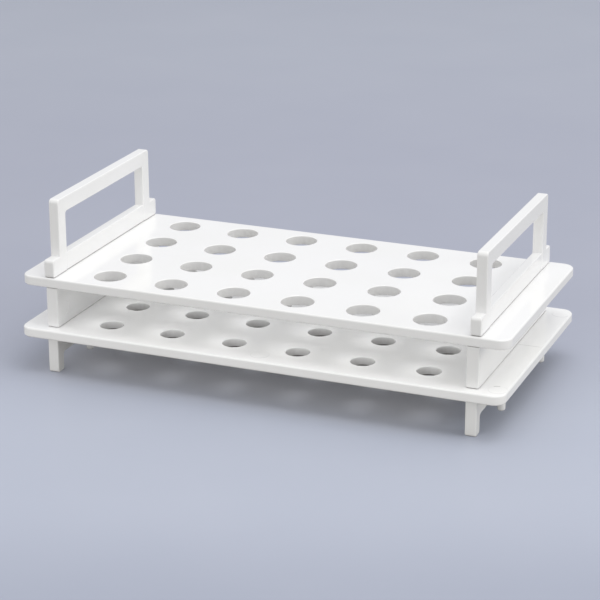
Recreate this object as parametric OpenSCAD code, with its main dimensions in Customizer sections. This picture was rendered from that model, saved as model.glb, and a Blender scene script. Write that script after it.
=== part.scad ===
// Rack for microcentrifuge tubes: two drilled plates, one above the other, with an upright
// handle, a spacer and a leg frame at each end. The upper plate holds the tubes upright and
// the lower one catches their cones. The origin is on the floor, in the middle of the rack.

/* [Tube places] */
// Columns of tube places along the rack
columns = 6; // [2:1:8]
// Rows of tube places across the rack
rows = 4; // [3:1:6]
// Distance between the columns
column_pitch = 23; // [18:0.5:30]
// Distance between the rows
row_pitch = 20; // [18:0.5:28]
// Diameter of the holes in the upper plate, which hold the tubes upright
tube_hole_d = 11; // [9:0.1:13]
// Diameter of the holes in the lower plate, which catch the tubes' cones
cone_hole_d = 8; // [6:0.1:11]
// Rounding of the holes' rims
rim_r = 0.4; // [0.2:0.1:0.8]
// Rounding of the lower rims of the holes in the lower plate
cone_hole_flare = 0.8; // [0.2:0.1:1.2]

/* [Plates] */
// Thickness of both plates
plate_t = 3.4; // [2.6:0.1:5]
// From the centre of the last column to the middle of the spacers and leg frames
end_gap = 17.6; // [12:0.1:25]
// From the middle of the handles to the ends of the upper plate
upper_overhang = 11.1; // [8:0.1:20]
// From the middle of the leg frames to the ends of the lower plate
lower_overhang = 11.3; // [8:0.1:20]
// From the centre of the last row to the long edge of the upper plate
upper_margin = 10.2; // [9:0.1:13.5]
// From the centre of the last row to the long edge of the lower plate
lower_margin = 13.2; // [11:0.1:20]
// Radius of the plates' corners
plate_corner_r = 4.2; // [2:0.1:7]
// Rounding of the plates' edges
plate_edge_r = 0.6; // [0.2:0.1:1.2]

/* [Handles] */
// Height of the handles above the upper plate
handle_h = 26.4; // [18:0.1:45]
// Thickness of the handles
handle_t = 3.6; // [3.2:0.1:5]
// How much further out the handles stand than the spacers
handle_offset = 0.7; // [0:0.1:1.2]
// From the long edge of the upper plate to the toe of the handle
toe_inset = 0.5; // [0.2:0.1:3]
// Length of the toe outside the upright
toe_l = 5; // [2:0.1:8]
// Height of the toe and of the rail between the uprights
rail_h = 6.3; // [4:0.1:10]
// How far each side of the rail is set back from the toes
rail_set_back = 0.15; // [0.05:0.05:0.3]
// Width of the uprights
upright_w = 5.2; // [4:0.1:9]
// Height of the grip bar
grip_h = 5.4; // [4:0.1:8]
// Outer radius of the handle's upper corners
handle_corner_r = 1.5; // [0.6:0.1:3]
// Radius of the toe's corners
toe_corner_r = 1.1; // [0.6:0.1:2]
// Radius of the upper corners inside the handle
window_corner_r = 1; // [0.5:0.1:2]

/* [Spacers] */
// Height of the gap between the plates
spacer_h = 14.4; // [10:0.1:30]
// Thickness of the spacers
spacer_t = 4.2; // [3.6:0.1:6]
// From the long edge of the upper plate to the end of the spacer
spacer_inset = 0.5; // [0:0.1:3]
// Radius of the spacer's corners
spacer_corner_r = 0.8; // [0.5:0.1:2]
// Diameter of the ejector mark on the inner face
mark_d = 5; // [3:0.5:8]
// Depth of the ejector mark
mark_depth = 0.12; // [0.05:0.01:0.3]
// From the spacer's end to the centre of the ejector mark
mark_inset = 5.2; // [4:0.1:14]
// Height of the ejector mark's centre above the lower plate
mark_rise = 5.6; // [4:0.1:7]

/* [Leg frames] */
// Height of the lower plate above the floor
leg_h = 12.8; // [10:0.1:25]
// Thickness of the leg frames
leg_t = 3.8; // [3.4:0.1:5]
// Width of each leg
leg_w = 4.1; // [3:0.1:8]
// Height of the beam between the legs
beam_h = 6.4; // [4.5:0.1:8]
// From the long edge of the lower plate to the leg
leg_inset = 2.8; // [1:0.1:6]
// Rounding of the legs' ends
foot_r = 0.8; // [0.5:0.1:1.4]
// Radius of the inner corners between legs and beam
arch_r = 1.2; // [0.6:0.1:2]

/* [Pegs] */
// Diameter of the pegs under the lower plate
peg_d = 2.7; // [2:0.1:4]
// Length of the pegs below the lower plate
peg_l = 9.6; // [5:0.1:9.8]
// Gap between a peg and the leg frame's beam
peg_gap = 1.75; // [0.4:0.05:3]
// Distance between the two pairs of pegs at one end
peg_span = 46; // [30:1:60]
// Rounding of the pegs' tips
peg_tip_r = 0.8; // [0.3:0.1:0.9]

/* [Tenons] */
// Thickness of the tenons that join the end pieces through the plates
tenon_t = 2; // [1.6:0.1:2.2]
// Length of each tenon along the end piece
tenon_l = 10; // [5:0.5:14]
// How far a tenon reaches past the plate into the next piece
tenon_grip = 3; // [1.5:0.1:3.5]
// Distance between the centres of the two tenons of one piece
tenon_span = 46; // [30:1:60]
// Clearance around the tenons
tenon_clearance = 0.1; // [0.05:0.01:0.15]

/* [Finish] */
// Rounding of the long edges of handles, spacers and leg frames
edge_r = 0.4; // [0.2:0.05:0.5]

/* [Hidden] */
$fn = 64;
plastic = [0.95, 0.95, 0.94];
left = -1;
right = 1;

// How far a cutter passes the face it cuts
cut_past = 1;

column_reach = (columns - 1) / 2 * column_pitch;
row_reach = (rows - 1) / 2 * row_pitch;
end_x = column_reach + end_gap;
handle_x = end_x + handle_offset;
handle_tenon_x = end_x + handle_offset / 2;
upper_l = 2 * (handle_x + upper_overhang);
lower_l = 2 * (end_x + lower_overhang);
upper_w = 2 * (row_reach + upper_margin);
lower_w = 2 * (row_reach + lower_margin);

lower_plate_z = leg_h;
spacer_z = lower_plate_z + plate_t;
upper_plate_z = spacer_z + spacer_h;
handle_z = upper_plate_z + plate_t;

handle_l = upper_w - 2 * toe_inset;
bow_l = handle_l - 2 * toe_l;
window_l = bow_l - 2 * upright_w;
spacer_l = upper_w - 2 * spacer_inset;
leg_frame_l = lower_w - 2 * leg_inset;
arch_l = leg_frame_l - 2 * leg_w;
arch_h = leg_h - beam_h;
tenon_depth = plate_t + tenon_grip;
peg_x = leg_t / 2 + peg_gap + peg_d / 2;

// Half section of a rim from the corner's centre outwards, with both outer edges rounded.
module rounded_rim(reach, thickness, radius) {
    difference() {
        square([reach, thickness]);
        for (top = [0, 1])
            translate([reach - radius, top * thickness])
                mirror([0, top])
                    difference() {
                        square(radius);
                        translate([0, radius]) circle(r = radius);
                    }
    }
}

// Half section of the flare at one end of a cutter, which leaves a rounded edge.
module flare(reach, radius) {
    difference() {
        translate([0, -cut_past]) square([reach + radius, radius + cut_past]);
        translate([reach + radius, radius]) circle(r = radius);
    }
}

// Half section of a cutter whose two ends flare, so that the edges it leaves are rounded.
module flared_rim(reach, thickness, low_radius, high_radius) {
    square([reach, thickness]);
    flare(reach, low_radius);
    translate([0, thickness]) mirror([0, 1]) flare(reach, high_radius);
}

// Oblong with rounded corners and the child as the section of its rim. It is centred in plan
// and its middle part spans the heights from low to high.
module rimmed_oblong(size_x, size_y, corner_r, low, high) {
    flat_x = size_x - 2 * corner_r;
    flat_y = size_y - 2 * corner_r;
    translate([-flat_x / 2, -flat_y / 2, low]) cube([flat_x, flat_y, high - low]);
    for (turn = [0, 180]) {
        rotate(turn) translate([flat_x / 2, flat_y / 2, 0])
            rotate([90, 0, 0]) linear_extrude(flat_y) children();
        rotate(turn + 90) translate([flat_y / 2, flat_x / 2, 0])
            rotate([90, 0, 0]) linear_extrude(flat_x) children();
        rotate(turn) translate([flat_x / 2, flat_y / 2, 0])
            rotate_extrude(angle = 90) children();
        rotate(turn) translate([-flat_x / 2, flat_y / 2, 0])
            rotate(90) rotate_extrude(angle = 90) children();
    }
}

// Flat slab with rounded corners and edges, lying on the plane z = 0.
module slab(size_x, size_y, thickness, corner_r, radius) {
    rimmed_oblong(size_x, size_y, corner_r, 0, thickness)
        rounded_rim(corner_r, thickness, radius);
}

// Cutter for an oblong opening through a slab, with the edges it leaves rounded.
module slab_window(size_x, size_y, thickness, corner_r, radius) {
    rimmed_oblong(size_x, size_y, corner_r, -cut_past, thickness + cut_past)
        flared_rim(corner_r, thickness, radius, radius);
}

// Stands a flat piece of the given thickness on edge across the rack, with its middle plane
// at x = 0: its own x runs along Y and its own y runs up.
module on_edge(thickness) {
    translate([-thickness / 2, 0, 0]) rotate([90, 0, 90]) children();
}

// Slab on edge across the rack, of the given length along Y and from height low to high.
module standing_slab(size_y, low, high, thickness, corner_r) {
    on_edge(thickness)
        translate([0, (low + high) / 2])
            slab(size_y, high - low, thickness, corner_r, edge_r);
}

// Places a child at both tenon positions of an end piece.
module at_tenons() {
    for (side = [-1, 1]) translate([0, side * tenon_span / 2, 0]) children();
}

// Tenons that hang below the plane z = 0, through a plate and into the next end piece.
module tenons() {
    at_tenons()
        translate([-tenon_t / 2, -tenon_l / 2, -tenon_depth])
            cube([tenon_t, tenon_l, tenon_depth + edge_r]);
}

// Cutter for what takes the tenons, from the plane z = 0 down to the given depth.
module tenon_slots(depth) {
    width = tenon_t + 2 * tenon_clearance;
    length = tenon_l + 2 * tenon_clearance;
    at_tenons()
        translate([-width / 2, -length / 2, -depth])
            cube([width, length, depth + cut_past]);
}

// Places a child at one end of the rack, turned so that its own +X points outwards.
module at_end(side, x, z) {
    translate([side * x, 0, z]) rotate(side == right ? 0 : 180) children();
}

// Plate with its holes and with the slots for the tenons at both ends.
module drilled_plate(length, width, hole_d, low_rim_r, slot_x) {
    difference() {
        slab(length, width, plate_t, plate_corner_r, plate_edge_r);
        for (column = [0 : columns - 1], row = [0 : rows - 1])
            translate([column * column_pitch - column_reach, row * row_pitch - row_reach, 0])
                rotate_extrude() flared_rim(hole_d / 2, plate_t, low_rim_r, rim_r);
        for (side = [left, right])
            at_end(side, slot_x, plate_t) tenon_slots(plate_t + cut_past);
    }
}

// Pegs that straddle the leg frame at one end, hanging below the plane z = 0.
module pegs() {
    for (side_x = [-1, 1], side_y = [-1, 1])
        translate([side_x * peg_x, side_y * peg_span / 2, -peg_l])
            rotate_extrude() rounded_rim(peg_d / 2, peg_l + plate_t / 2, peg_tip_r);
}

module upper_plate() {
    color(plastic) translate([0, 0, upper_plate_z])
        drilled_plate(upper_l, upper_w, tube_hole_d, rim_r, handle_tenon_x);
}

module lower_plate() {
    color(plastic) {
        translate([0, 0, lower_plate_z])
            drilled_plate(lower_l, lower_w, cone_hole_d, cone_hole_flare, end_x);
        for (side = [left, right]) at_end(side, end_x, lower_plate_z) pegs();
    }
}

// Two uprights and a grip bar that rise from a rail, which ends in a toe past each upright.
module handle() {
    bow_low = rail_h / 2;
    toe_slab_l = toe_l + upright_w;
    difference() {
        standing_slab(bow_l, bow_low, handle_h, handle_t, handle_corner_r);
        on_edge(handle_t)
            translate([0, (handle_h - grip_h) / 2])
                slab_window(window_l, handle_h - grip_h, handle_t, window_corner_r, edge_r);
    }
    for (side = [-1, 1])
        translate([0, side * (handle_l - toe_slab_l) / 2, 0])
            standing_slab(toe_slab_l, 0, rail_h, handle_t, toe_corner_r);
    standing_slab(window_l + upright_w, 0, rail_h, handle_t - 2 * rail_set_back, edge_r);
    translate([handle_tenon_x - handle_x, 0, 0]) tenons();
}

// Wall between the plates, with tenons below, sockets above and an ejector mark inside.
module spacer() {
    difference() {
        standing_slab(spacer_l, 0, spacer_h, spacer_t, spacer_corner_r);
        translate([handle_tenon_x - end_x, 0, spacer_h])
            tenon_slots(tenon_grip + tenon_clearance);
        for (side = [-1, 1])
            translate([mark_depth - spacer_t / 2, side * (spacer_l / 2 - mark_inset), mark_rise])
                rotate([0, -90, 0]) cylinder(h = mark_depth + cut_past, d = mark_d);
    }
    tenons();
}

// Beam under the lower plate with a leg at each end and sockets for the spacer's tenons.
module leg_frame() {
    difference() {
        union() {
            standing_slab(leg_frame_l, arch_h, leg_h, leg_t, foot_r);
            translate([-leg_t / 2, -arch_l / 2 - edge_r, arch_h - arch_r])
                cube([leg_t, arch_l + 2 * edge_r, arch_r + edge_r]);
        }
        on_edge(leg_t) slab_window(arch_l, 2 * arch_h, leg_t, arch_r, edge_r);
        translate([0, 0, leg_h]) tenon_slots(tenon_grip + tenon_clearance);
    }
    for (side = [-1, 1])
        translate([0, side * (leg_frame_l - leg_w) / 2, 0])
            standing_slab(leg_w, 0, leg_h, leg_t, foot_r);
}

module left_handle() {
    color(plastic) at_end(left, handle_x, handle_z) handle();
}

module right_handle() {
    color(plastic) at_end(right, handle_x, handle_z) handle();
}

module left_spacer() {
    color(plastic) at_end(left, end_x, spacer_z) spacer();
}

module right_spacer() {
    color(plastic) at_end(right, end_x, spacer_z) spacer();
}

module left_leg_frame() {
    color(plastic) at_end(left, end_x, 0) leg_frame();
}

module right_leg_frame() {
    color(plastic) at_end(right, end_x, 0) leg_frame();
}

upper_plate();
lower_plate();
left_handle();
right_handle();
left_spacer();
right_spacer();
left_leg_frame();
right_leg_frame();
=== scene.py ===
"""Looks of the microcentrifuge tube rack: white moulded plastic on a blue-grey studio floor."""
import math

import bpy
import numpy as np
from mathutils import Matrix, Vector


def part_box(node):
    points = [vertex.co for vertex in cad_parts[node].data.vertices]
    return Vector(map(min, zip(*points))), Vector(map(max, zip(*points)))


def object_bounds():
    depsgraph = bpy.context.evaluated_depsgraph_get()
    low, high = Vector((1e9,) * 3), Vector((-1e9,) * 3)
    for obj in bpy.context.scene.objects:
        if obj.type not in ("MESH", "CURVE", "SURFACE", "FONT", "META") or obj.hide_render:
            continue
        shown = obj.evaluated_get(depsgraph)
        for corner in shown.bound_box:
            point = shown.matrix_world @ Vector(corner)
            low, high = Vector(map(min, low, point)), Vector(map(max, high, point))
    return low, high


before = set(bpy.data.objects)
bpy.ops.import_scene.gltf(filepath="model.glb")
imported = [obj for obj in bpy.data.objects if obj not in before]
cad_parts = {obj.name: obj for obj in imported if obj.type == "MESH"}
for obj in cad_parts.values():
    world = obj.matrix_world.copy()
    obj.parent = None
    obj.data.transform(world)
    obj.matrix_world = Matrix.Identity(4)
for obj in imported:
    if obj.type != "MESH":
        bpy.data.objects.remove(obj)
cad_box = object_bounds()

MM = 0.001


def linear(red, green, blue):
    """Scene-linear colour of a display colour given from 0 to 255."""
    def channel(value):
        share = value / 255
        return share / 12.92 if share <= 0.04045 else ((share + 0.055) / 1.055) ** 2.4

    return (channel(red), channel(green), channel(blue), 1.0)


# ---------------------------------------------------------------- shader tools


class Field:
    """A socket that holds a number. Arithmetic on it adds Math nodes to its material."""

    def __init__(self, tree, socket):
        self.tree = tree
        self.socket = socket

    def join(self, operation, *terms):
        return self.tree.add("ShaderNodeMath", {"operation": operation}, dict(enumerate(terms)))

    def __add__(self, other):
        return self.join("ADD", self, other)

    def __radd__(self, other):
        return self.join("ADD", other, self)

    def __sub__(self, other):
        return self.join("SUBTRACT", self, other)

    def __rsub__(self, other):
        return self.join("SUBTRACT", other, self)

    def __mul__(self, other):
        return self.join("MULTIPLY", self, other)

    def __rmul__(self, other):
        return self.join("MULTIPLY", other, self)

    def maximum(self, other):
        return self.join("MAXIMUM", self, other)

    def size(self):
        return self.join("ABSOLUTE", self)

    def step(self, low, high):
        """Rises smoothly from 0 at low to 1 at high, and falls where low is above high."""
        settings = {"interpolation_type": "SMOOTHSTEP", "clamp": True}
        first, last = (0.0, 1.0) if low < high else (1.0, 0.0)
        ends = {1: min(low, high), 2: max(low, high), 3: first, 4: last}
        return self.tree.add("ShaderNodeMapRange", settings, {0: self, **ends})

    def near(self, centre, half_width, fade):
        """1 within half a width of the centre, fading to 0 past it."""
        return (self - centre).size().step(half_width + fade, half_width)


class Tree:
    """The nodes of one material or of the world."""

    def __init__(self, owner):
        owner.use_nodes = True
        self.nodes = owner.node_tree.nodes
        self.links = owner.node_tree.links
        self.nodes.clear()

    def add(self, kind, settings=None, values=None, output=0):
        """Adds a node, sets its settings, fills or links its inputs and returns one output."""
        node = self.nodes.new(kind)
        for name, value in (settings or {}).items():
            setattr(node, name, value)
        for key, value in (values or {}).items():
            if isinstance(value, Field):
                self.links.new(value.socket, node.inputs[key])
            else:
                node.inputs[key].default_value = value
        return Field(self, node.outputs[output]) if node.outputs else None

    def mix(self, factor, low, high):
        """Colour that goes from low to high as the factor rises. Of a Mix node's sockets, 6 and 7
        take the two colours and output 2 gives the mixed one."""
        return self.add("ShaderNodeMix", {"data_type": "RGBA"}, {0: factor, 6: low, 7: high}, 2)

    def parts(self, vector):
        """The three components of a vector."""
        split = self.add("ShaderNodeSeparateXYZ", None, {0: vector})
        return [Field(self, socket) for socket in split.socket.node.outputs]

    def millimetres(self, stretch=(1.0, 1.0, 1.0)):
        """Place on the object in millimetres, each axis divided by its stretch."""
        place = self.add("ShaderNodeTexCoord", None, None, "Object")
        scale = tuple(1 / (MM * share) for share in stretch)
        return self.add("ShaderNodeVectorMath", {"operation": "MULTIPLY"}, {0: place, 1: scale})

    def cloud(self, place, grain, detail):
        """Soft noise from 0 to 1 whose lumps are about one grain wide."""
        return self.add("ShaderNodeTexNoise", None,
                        {"Vector": place, "Scale": 1 / grain, "Detail": detail, "Roughness": 0.5})

    def bump(self, height):
        """Normal of a surface that is raised by the height in millimetres."""
        return self.add("ShaderNodeBump", None, {"Height": height, "Distance": MM, "Strength": 1.0})

    def blend(self, factor, shader, other):
        """Shader that goes from one to the other as the factor rises."""
        return self.add("ShaderNodeMixShader", None, {0: factor, 1: shader, 2: other})


# ------------------------------------------------------------ plastic and marks

# Levels of the plates in millimetres. The lower plate's box also holds its pegs, so its
# underside comes from the thickness, which is the upper plate's.
UPPER_LOW, UPPER_TOP = (corner.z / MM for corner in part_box("upper_plate"))
LOWER_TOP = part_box("lower_plate")[1].z / MM
LOWER_LOW = LOWER_TOP - (UPPER_TOP - UPPER_LOW)

# Colour of the marks and the line on the lower plate, and of the painted shade in the holes and at
# the seams
GRIME_AND_SHADE_TONE = linear(115, 109, 104)

# How many times smaller lumps are added to a noise
FINE_DETAIL = 3.0
PLAIN_DETAIL = 1.0

# The skin of the plastic: the grain of each part and how far it raises the surface, in
# millimetres, and how much it dulls the gloss
CLOUD_GRAIN = 26.0
CLOUD_EDGES = (0.3, 0.75)
CLOUD_DULLING = 0.08
FLOW_GRAIN = 3.2
FLOW_STRETCH = (9.0, 1.0, 1.0)
FLOW_RISE = 0.0006
FLOW_DULLING = 0.04
PEEL_GRAIN = 0.9
PEEL_RISE = 0.0010
WAVE_GRAIN = 9.0
WAVE_RISE = 0.008
GRIME_AND_SHADE_DULLING = 0.2
PLASTIC_IOR = 1.49

# Half length and half width of the part of the plates that holds the holes, and its soft edge
HOLES_REACH_X = 66.0
HOLES_REACH_Y = 37.0
HOLES_FADE = 2.0

# How much painted shade the walls of the holes take: evenly, deep down and on the flare at the
# bottom, where it is a painted shadow of the shaded floor seen through the hole. It starts just
# inside the faces that a wall ends in, and is full a little further in.
UPPER_WALL_SHADE = 0.22
LOWER_WALL_SHADE = 0.08
DEEP_SHADE = 0.27
DEEP_START = LOWER_TOP - 0.2
DEEP_END = LOWER_LOW + 0.7
FLARE_SHADE = 0.55
FLARE_START = LOWER_LOW + 0.75
FLARE_END = LOWER_LOW + 0.55
WALL_START = 0.05
WALL_FULL_ABOVE_LOW = 0.2
WALL_FULL_BELOW_TOP = 0.3

# Marks on top of the lower plate and a fine darker line across its right end: places and sizes in
# millimetres, and how much each darkens
SKIN_HALF_DEPTH = 0.05
SKIN_FADE = 0.1
PIN_RADIUS = 3.1
PIN_STEP = 0.12
PIN_RISE = 0.03
PIN_GRIME = 0.07
RIM_HALF_WIDTH = 0.05
RIM_FADE = 0.25
CORNER_PIN = (83.0, 37.5)
MIDDLE_PIN = (0.8, 37.0)
NICK_MIDDLE = (81.9, -34.7)
NICK_HALF_SIZE = (0.7, 0.8)
NICK_HALF_WIDTH = 0.10
NICK_FADE = 0.5
NICK_GRIME = 0.4
CROSS_LINE_Y = 3.8
CROSS_LINE_HALF_WIDTH = 0.06
CROSS_LINE_FADE = 0.22
CROSS_LINE_START = (77.2, 78.0)
CROSS_LINE_END = (85.6, 84.4)
CROSS_LINE_DARKENING = 0.3

# Painted shade: the dark line along a seam
SEAM_HALF_WIDTH = 0.12
SEAM_FADE = 0.25
SEAM_SHADE = 0.85


def hole_wall(z, low, top):
    """1 on a wall between the two levels, and 0 on the faces that it ends in."""
    return (z.step(low + WALL_START, low + WALL_FULL_ABOVE_LOW)
            * z.step(top - WALL_START, top - WALL_FULL_BELOW_TOP))


def pin_distance(tree, x, y, middle):
    """Distance from the middle of the round mark that an ejector pin leaves."""
    spread = tree.add("ShaderNodeCombineXYZ", None, {0: x - middle[0], 1: y - middle[1], 2: 0.0})
    return tree.add("ShaderNodeVectorMath", {"operation": "LENGTH"}, {0: spread}, "Value")


def past_pin(distance):
    """0 on the floor of a pin mark and 1 on the skin around it."""
    return distance.step(PIN_RADIUS - PIN_STEP, PIN_RADIUS + PIN_STEP)


def plate_marks_and_shade(tree, x, y, z):
    """Painted shade on the walls of the holes, which are also duller, darkest low in the lower
    plate. On top of the lower plate there are pin marks, sunk below the skin around them, a nick in
    a corner and a fine darker line across the right end."""
    among_holes = x.near(0.0, HOLES_REACH_X, HOLES_FADE) * y.near(0.0, HOLES_REACH_Y, HOLES_FADE)
    # Painted shade on the hole walls: darker deeper in the lower plate and darkest on its flare
    lower_wall_shade = (LOWER_WALL_SHADE + z.step(DEEP_START, DEEP_END) * DEEP_SHADE
                   + z.step(FLARE_START, FLARE_END) * FLARE_SHADE)
    walls = (hole_wall(z, UPPER_LOW, UPPER_TOP) * UPPER_WALL_SHADE
             + hole_wall(z, LOWER_LOW, LOWER_TOP) * lower_wall_shade)

    top = z.near(LOWER_TOP, SKIN_HALF_DEPTH, SKIN_FADE)
    corner = pin_distance(tree, x, y.size(), CORNER_PIN)
    middle = pin_distance(tree, x, y.size(), MIDDLE_PIN)
    rims = corner.near(PIN_RADIUS, RIM_HALF_WIDTH, RIM_FADE).maximum(
        middle.near(PIN_RADIUS, RIM_HALF_WIDTH, RIM_FADE))
    nick = (corner.near(PIN_RADIUS, NICK_HALF_WIDTH, RIM_FADE)
            * x.near(NICK_MIDDLE[0], NICK_HALF_SIZE[0], NICK_FADE)
            * y.near(NICK_MIDDLE[1], NICK_HALF_SIZE[1], NICK_FADE))
    cross_line = y.near(CROSS_LINE_Y, CROSS_LINE_HALF_WIDTH, CROSS_LINE_FADE) * x.step(*CROSS_LINE_START) * x.step(*CROSS_LINE_END)
    marks = (rims * PIN_GRIME + nick * NICK_GRIME + cross_line * CROSS_LINE_DARKENING) * top
    rise = (past_pin(corner) + past_pin(middle)) * top * PIN_RISE
    return (walls * among_holes).maximum(marks), rise


def seam_shade(tree, x, y, z):
    """Painted shade: a fine dark line where an end piece meets a plate."""
    seams = z.near(UPPER_TOP, SEAM_HALF_WIDTH, SEAM_FADE)
    for level in (LOWER_TOP, UPPER_LOW):
        seams = seams.maximum(z.near(level, SEAM_HALF_WIDTH, SEAM_FADE))
    return seams * SEAM_SHADE, 0.0


def moulded_plastic(name, tone, shade, roughness, marks):
    """White moulded polypropylene: faint clouding, flow lines along the mould, a fine
    orange-peel skin, a slow wave, and the marks and painted shade, which darken the colour and give
    a rise."""
    material = bpy.data.materials.new(name)
    tree = Tree(material)
    place = tree.millimetres()
    x, y, z = tree.parts(place)
    clouding = tree.cloud(place, CLOUD_GRAIN, FINE_DETAIL)
    flow = tree.cloud(tree.millimetres(FLOW_STRETCH), FLOW_GRAIN, PLAIN_DETAIL)
    peel = tree.cloud(place, PEEL_GRAIN, PLAIN_DETAIL)
    wave = tree.cloud(place, WAVE_GRAIN, PLAIN_DETAIL)
    grime_and_shade, mark_rise = marks(tree, x, y, z)
    colour = tree.mix(clouding.step(*CLOUD_EDGES), tone, shade)
    # Darkens the colour where there are marks and where shade is painted
    colour = tree.mix(grime_and_shade, colour, GRIME_AND_SHADE_TONE)
    dullness = (roughness + (clouding - 0.5) * CLOUD_DULLING + (flow - 0.5) * FLOW_DULLING
                + grime_and_shade * GRIME_AND_SHADE_DULLING)
    height = peel * PEEL_RISE + wave * WAVE_RISE + flow * FLOW_RISE + mark_rise
    shader = tree.add("ShaderNodeBsdfPrincipled", None,
                      {"Base Color": colour, "Roughness": dullness, "IOR": PLASTIC_IOR,
                       "Normal": tree.bump(height)})
    tree.add("ShaderNodeOutputMaterial", None, {"Surface": shader})
    return material


plate_plastic = moulded_plastic(
    "plate_plastic", linear(253, 253, 253), linear(251, 251, 250), 0.10, plate_marks_and_shade)
end_plastic = moulded_plastic(
    "end_piece_plastic", linear(250, 250, 250), linear(248, 248, 247), 0.20, seam_shade)

for node_name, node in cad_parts.items():
    finish = end_plastic if node_name.endswith(("handle", "spacer")) else plate_plastic
    for slot in node.material_slots:
        slot.material = finish

# ----------------------------------------------------------- floor and backdrop

CAMERA_AZIMUTH = math.radians(22.22)
CAMERA_ELEVATION = math.radians(19.80)
CAMERA_ROLL = math.radians(-0.19)
CAMERA_DISTANCE = 0.6781
CAMERA_AIM = Vector((0.01176, -0.02850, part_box("upper_plate")[1].z))
LENS_MM = 123.40
SENSOR_MM = 36.0

FLOOR_Z = cad_box[0].z
FLOOR_RADIUS = 8.0
FLOOR_RINGS = 24
FLOOR_SPOKES = 96

# The floor from the front to the back of the studio, whose changes of tone are painted light and
# shade, the painted light under the rack, the grey with which it lights the rack, the backdrop, and
# the light from all around
FRONT_TONE = linear(169, 175, 192)
NEAR_TONE = linear(185, 191, 207)
MID_TONE = linear(172, 176, 192)
FAR_TONE = linear(179, 184, 198)
UNDER_RACK_LIGHT_TONE = linear(236, 238, 247)
LIGHTEST_TONE = linear(255, 255, 255)
BOUNCE_TONE = linear(168, 167, 165)
BACKDROP_TONE = linear(170, 174, 189)
AMBIENT_TONE = (1.0, 0.996, 0.988, 1.0)
AMBIENT_STRENGTH = 0.73

# Where one tone of the floor goes over into the next, in millimetres behind the rack's middle,
# and the middle, half size and fade of the painted light under the rack, which lightens its shadow
FRONT_TO_NEAR = (-185.0, -110.0)
NEAR_TO_MID = (-60.0, 60.0)
MID_TO_FAR = (220.0, 560.0)
UNDER_RACK_LIGHT_X = (-8.0, 58.0, 26.0)
UNDER_RACK_LIGHT_Y = (0.0, 22.0, 30.0)
UNDER_RACK_LIGHT_SHARE = 0.85
MOTTLE_GRAIN = 60.0
MOTTLE_SHARE = 0.06
FLOOR_ROUGHNESS = 0.38
FLOOR_SHEEN = 0.12


def floor_disc():
    """Flat disc: the radius grows with the square of the ring, the angle with the spoke."""
    ring, spoke = np.meshgrid(np.arange(1, FLOOR_RINGS + 1), np.arange(FLOOR_SPOKES), indexing="ij")
    radius = FLOOR_RADIUS * (ring / FLOOR_RINGS) ** 2
    angle = spoke * (2 * np.pi / FLOOR_SPOKES)
    level = np.full(radius.shape, FLOOR_Z)
    rings = np.stack([radius * np.cos(angle), radius * np.sin(angle), level], -1)
    points = np.concatenate([[[0.0, 0.0, FLOOR_Z]], rings.reshape(-1, 3)])
    inner = 1 + (ring[:-1] - 1) * FLOOR_SPOKES + spoke[:-1]
    inner_next = 1 + (ring[:-1] - 1) * FLOOR_SPOKES + (spoke[:-1] + 1) % FLOOR_SPOKES
    quads = np.stack([inner, inner + FLOOR_SPOKES, inner_next + FLOOR_SPOKES, inner_next], -1)
    first = np.arange(FLOOR_SPOKES)
    fan = np.stack([np.zeros(FLOOR_SPOKES, int), 1 + first, 1 + (first + 1) % FLOOR_SPOKES], -1)
    mesh = bpy.data.meshes.new("floor")
    mesh.from_pydata(points.tolist(), [], quads.reshape(-1, 4).tolist() + fan.tolist())
    disc = bpy.data.objects.new("floor", mesh)
    bpy.context.scene.collection.objects.link(disc)
    return disc


def seen_directly(tree):
    """1 for rays from the camera and for rays in mirrors and glass, otherwise 0."""
    path = tree.add("ShaderNodeLightPath").socket.node
    camera_ray, glossy_ray, clear_ray = (
        Field(tree, path.outputs[name])
        for name in ("Is Camera Ray", "Is Glossy Ray", "Is Transmission Ray"))
    return camera_ray.maximum(glossy_ray).maximum(clear_ray)


def studio_floor():
    """Blue-grey floor whose tone changes slowly along the studio, in millimetres from the rack, as
    painted light and shade. What it throws back on the rack is a plain grey."""
    material = bpy.data.materials.new("studio_floor")
    tree = Tree(material)
    place = tree.millimetres()
    east, north = tree.parts(place)[:2]
    behind = east * (-math.sin(CAMERA_AZIMUTH)) + north * math.cos(CAMERA_AZIMUTH)
    # Painted light and shade: the tone ramps follow how the studio light falls along the floor
    tone = tree.mix(behind.step(*FRONT_TO_NEAR), FRONT_TONE, NEAR_TONE)
    tone = tree.mix(behind.step(*NEAR_TO_MID), tone, MID_TONE)
    tone = tree.mix(behind.step(*MID_TO_FAR), tone, FAR_TONE)
    # Painted light: the floor is paler under the rack, which lightens the rack's shadow
    under_rack_light = east.near(*UNDER_RACK_LIGHT_X) * north.near(*UNDER_RACK_LIGHT_Y)
    tone = tree.mix(under_rack_light * UNDER_RACK_LIGHT_SHARE, tone, UNDER_RACK_LIGHT_TONE)
    mottle = tree.cloud(place, MOTTLE_GRAIN, FINE_DETAIL)
    tone = tree.mix((mottle - 0.5) * MOTTLE_SHARE + MOTTLE_SHARE / 2, tone, LIGHTEST_TONE)
    seen = tree.add("ShaderNodeBsdfPrincipled", None,
                    {"Base Color": tone, "Roughness": FLOOR_ROUGHNESS,
                     "Specular IOR Level": FLOOR_SHEEN})
    bounce = tree.add("ShaderNodeBsdfDiffuse", None, {"Color": BOUNCE_TONE})
    surface = tree.blend(seen_directly(tree), bounce, seen)
    tree.add("ShaderNodeOutputMaterial", None, {"Surface": surface})
    return material


floor = floor_disc()
floor.data.materials.append(studio_floor())

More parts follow.
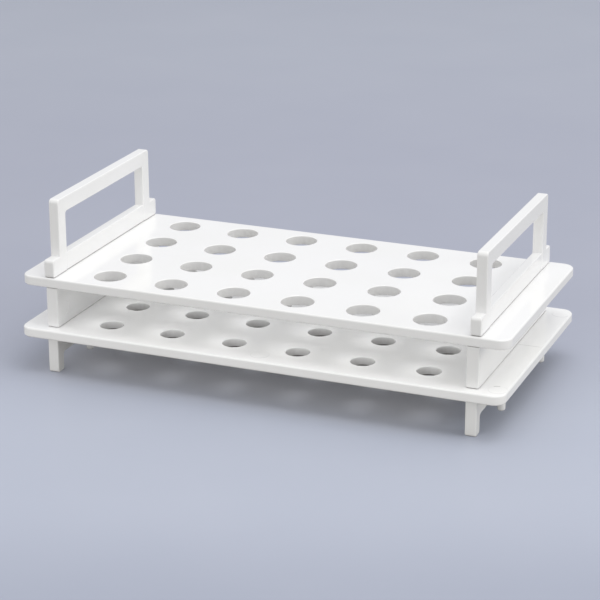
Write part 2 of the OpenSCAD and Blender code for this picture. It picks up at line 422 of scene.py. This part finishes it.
world = bpy.data.worlds.new("studio")
bpy.context.scene.world = world
tree = Tree(world)
ambient = tree.add("ShaderNodeBackground", None,
                   {"Color": AMBIENT_TONE, "Strength": AMBIENT_STRENGTH})
backdrop = tree.add("ShaderNodeBackground", None, {"Color": BACKDROP_TONE, "Strength": 1.0})
tree.add("ShaderNodeOutputWorld", None,
         {"Surface": tree.blend(seen_directly(tree), ambient, backdrop)})

# ----------------------------------------------------------------------- lamps

RACK_MIDDLE = (0.0, 0.0, 0.03)
FRONT_STRIP = (0.0, -0.04, 0.016)


def soft_box(name, place, aim, width, height, watts):
    """Rectangular lamp at a place, turned to face the aim."""
    light = bpy.data.lights.new(name, "AREA")
    light.shape = "RECTANGLE"
    light.size = width
    light.size_y = height
    light.energy = watts
    lamp = bpy.data.objects.new(name, light)
    bpy.context.scene.collection.objects.link(lamp)
    lamp.location = place
    lamp.rotation_euler = (Vector(aim) - Vector(place)).to_track_quat("-Z", "Y").to_euler()
    lamp.visible_camera = False
    return lamp


soft_box("top_lamp", (0.24, 0.04, 1.25), RACK_MIDDLE, width=0.78, height=0.78, watts=4.9)
soft_box("front_lamp", (-0.25, -1.40, 0.45), RACK_MIDDLE, width=0.8, height=0.6, watts=1.3)
soft_box("side_lamp", (1.35, 0.05, 0.55), RACK_MIDDLE, width=0.6, height=0.6, watts=3.1)

# The white upper plate lets some light through, which its solid doesn't. Two weak lamps that
# reach nothing but the lower plate stand for it, one from above and one along the front.
lower_plate_alone = bpy.data.collections.new("lower_plate_alone")
lower_plate_alone.objects.link(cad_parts["lower_plate"])
for soak_lamp in (
        soft_box("soak_lamp", (0.0, 0.0, 1.25), RACK_MIDDLE, width=0.8, height=0.8, watts=1.3),
        soft_box("front_soak_lamp", (0.0, -0.16, 0.20), FRONT_STRIP,
                 width=0.24, height=0.06, watts=0.048)):
    soak_lamp.light_linking.receiver_collection = lower_plate_alone
    soak_lamp.light_linking.blocker_collection = lower_plate_alone

# ---------------------------------------------------------------------- camera

back = Vector((math.sin(CAMERA_AZIMUTH) * math.cos(CAMERA_ELEVATION),
               -math.cos(CAMERA_AZIMUTH) * math.cos(CAMERA_ELEVATION),
               math.sin(CAMERA_ELEVATION)))
right = Vector((0.0, 0.0, 1.0)).cross(back).normalized()
above = back.cross(right)
rolled_right = math.cos(CAMERA_ROLL) * right + math.sin(CAMERA_ROLL) * above
rolled_above = math.cos(CAMERA_ROLL) * above - math.sin(CAMERA_ROLL) * right
turn = Matrix((rolled_right, rolled_above, back)).transposed()

lens = bpy.data.cameras.new("camera")
lens.sensor_width = SENSOR_MM
lens.lens = LENS_MM
lens.clip_start = 0.01
lens.clip_end = 50.0
camera = bpy.data.objects.new("camera", lens)
bpy.context.scene.collection.objects.link(camera)
camera.matrix_world = Matrix.Translation(CAMERA_AIM + back * CAMERA_DISTANCE) @ turn.to_4x4()
bpy.context.scene.camera = camera

bpy.context.scene.view_settings.view_transform = "Standard"
